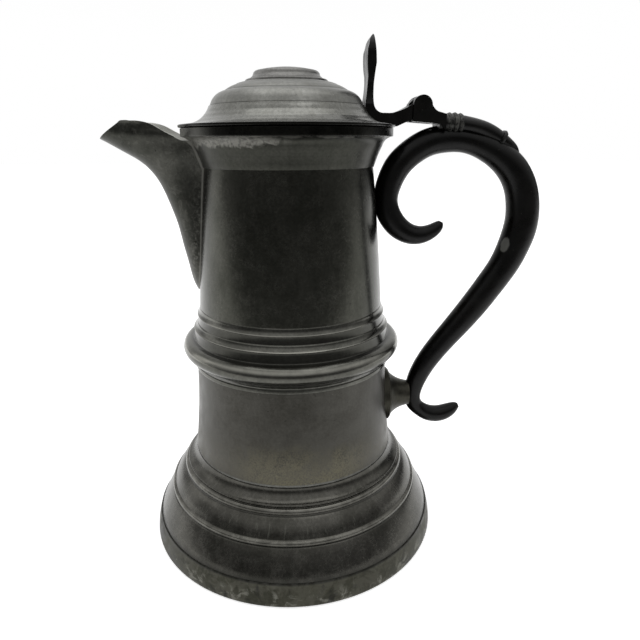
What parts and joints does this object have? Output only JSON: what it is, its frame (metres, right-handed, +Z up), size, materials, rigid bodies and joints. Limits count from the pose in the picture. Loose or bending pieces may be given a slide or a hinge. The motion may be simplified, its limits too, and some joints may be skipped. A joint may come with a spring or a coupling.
{
  "type": "pewter flagon",
  "caption": "Lidded pewter flagon with a stepped spreading foot, a banded tapering body, an open pouring spout, a black scroll handle and a hinged domed lid.",
  "frame": {"origin": "on the turning axis, at the plane the foot rests on", "axes": "+Z up along the turning axis, -X towards the spout, +X towards the handle, hinge pin along Y"},
  "size_m": [0.2259, 0.1628, 0.2639],
  "materials": {
    "pewter_body": "patinated satin",
    "pewter_lid": "satin",
    "black_japan": "worn gloss"
  },
  "bodies": {
    "vessel": {"foot_rim": "pewter_body", "foot": "pewter_body", "vessel_floor": "pewter_body", "lower_drum": "pewter_body", "belt_moulding": "pewter_body", "upper_drum": "pewter_body", "collar": "pewter_body", "rim_band": "pewter_body", "spout": "pewter_body", "handle": "black_japan", "handle_boss": "pewter_body", "hinge_bracket": "black_japan", "hinge_pin": "pewter_body"},
    "lid": {"lid_flange": "pewter_lid", "lid_dome": "pewter_lid", "lid_button": "pewter_lid", "lid_bezel": "pewter_lid", "thumbpiece": "black_japan"}
  },
  "joints": [
    {"name": "lid_hinge", "type": "hinge", "parent": "vessel", "child": "lid", "pos_m": [0.0665, 0, 0.2317], "axis": [0, 1, 0], "range_deg": [0, 110]}
  ]
}
